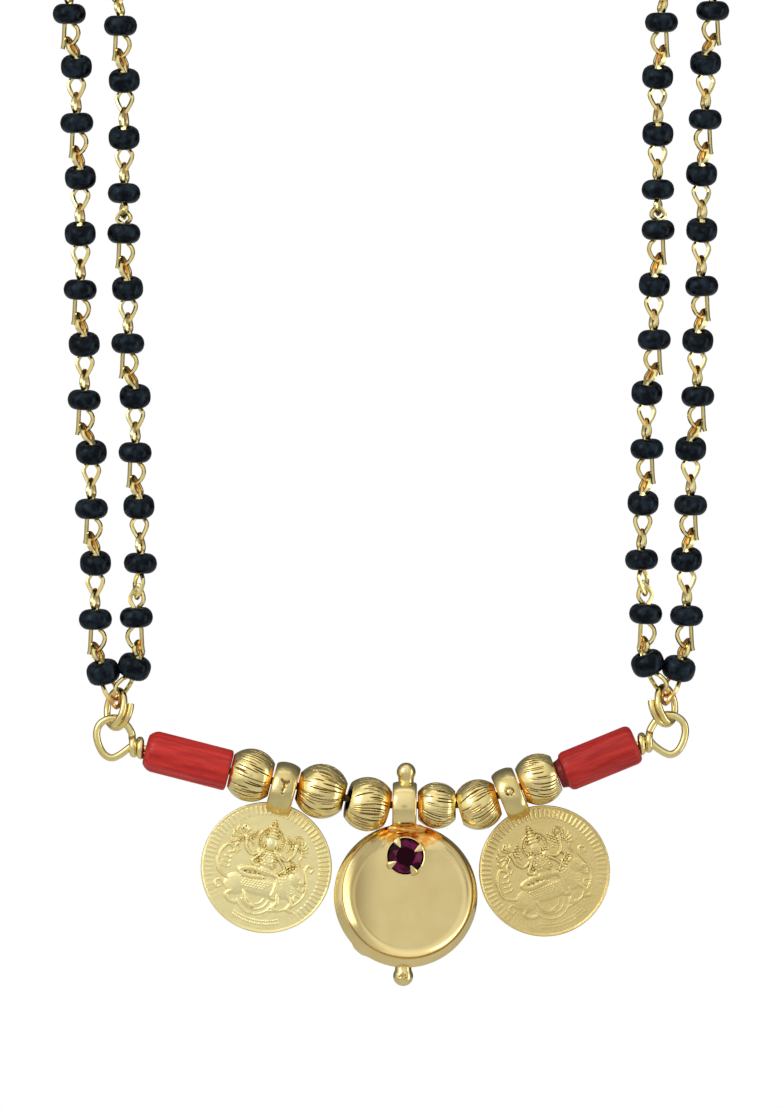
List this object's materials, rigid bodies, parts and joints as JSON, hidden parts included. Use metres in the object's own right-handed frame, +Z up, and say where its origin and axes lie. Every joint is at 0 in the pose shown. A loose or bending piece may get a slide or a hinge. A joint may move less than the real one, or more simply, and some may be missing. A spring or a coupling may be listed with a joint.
{
  "type": "black bead necklace with coin and cup pendants",
  "caption": "Folk necklace in hanging form: paired strings of black glass beads carry a gold bar with coral tubes, engraved gold beads, coin drops and a dished cup pendant.",
  "frame": {"origin": "the nape: the middle of the clasp, where the loop hangs on the neck", "axes": "+Z up, the pendants hang below and face -Y, +X is the viewer's right"},
  "size_m": [0.12, 0.1176, 0.2058],
  "materials": {
    "gold": "gold plating: polished on beads, cup and wire, satin on coins and bails",
    "coral": "polished red coral with fine lengthwise streaks",
    "black_glass": "opaque navy-black glass beads with a soft shine, on gold wire",
    "red_stone": "faceted dark red stone"
  },
  "bodies": {
    "necklace": {"bar_wire": "gold", "gold_bead_1": "gold", "gold_bead_2": "gold", "gold_bead_3": "gold", "gold_bead_4": "gold", "gold_bead_5": "gold", "gold_bead_6": "gold", "jump_ring_left": "gold", "jump_ring_right": "gold", "end_ring_left": "gold", "end_ring_right": "gold", "clasp": "gold", "coral_tube_left": "coral", "coral_tube_right": "coral", "string_left_outer": "black_glass", "string_left_inner": "black_glass", "string_right_inner": "black_glass", "string_right_outer": "black_glass"},
    "cup_drop": {"cup_pendant": "gold", "stone": "red_stone"},
    "left_coin_drop": {"coin_left": "gold"},
    "right_coin_drop": {"coin_right": "gold"}
  },
  "joints": [
    {"name": "cup_swing", "type": "hinge", "parent": "necklace", "child": "cup_drop", "pos_m": [0.00135, -0.112, -0.18545], "axis": [0.9999, 0, -0.0149], "range_deg": [-90, 90]},
    {"name": "coin_left_swing", "type": "hinge", "parent": "necklace", "child": "left_coin_drop", "pos_m": [-0.01067, -0.112, -0.18328], "axis": [0.9779, 0, -0.2091], "range_deg": [-60, 60]},
    {"name": "coin_right_swing", "type": "hinge", "parent": "necklace", "child": "right_coin_drop", "pos_m": [0.01185, -0.112, -0.18404], "axis": [0.9326, 0, 0.361], "range_deg": [-60, 60]}
  ]
}
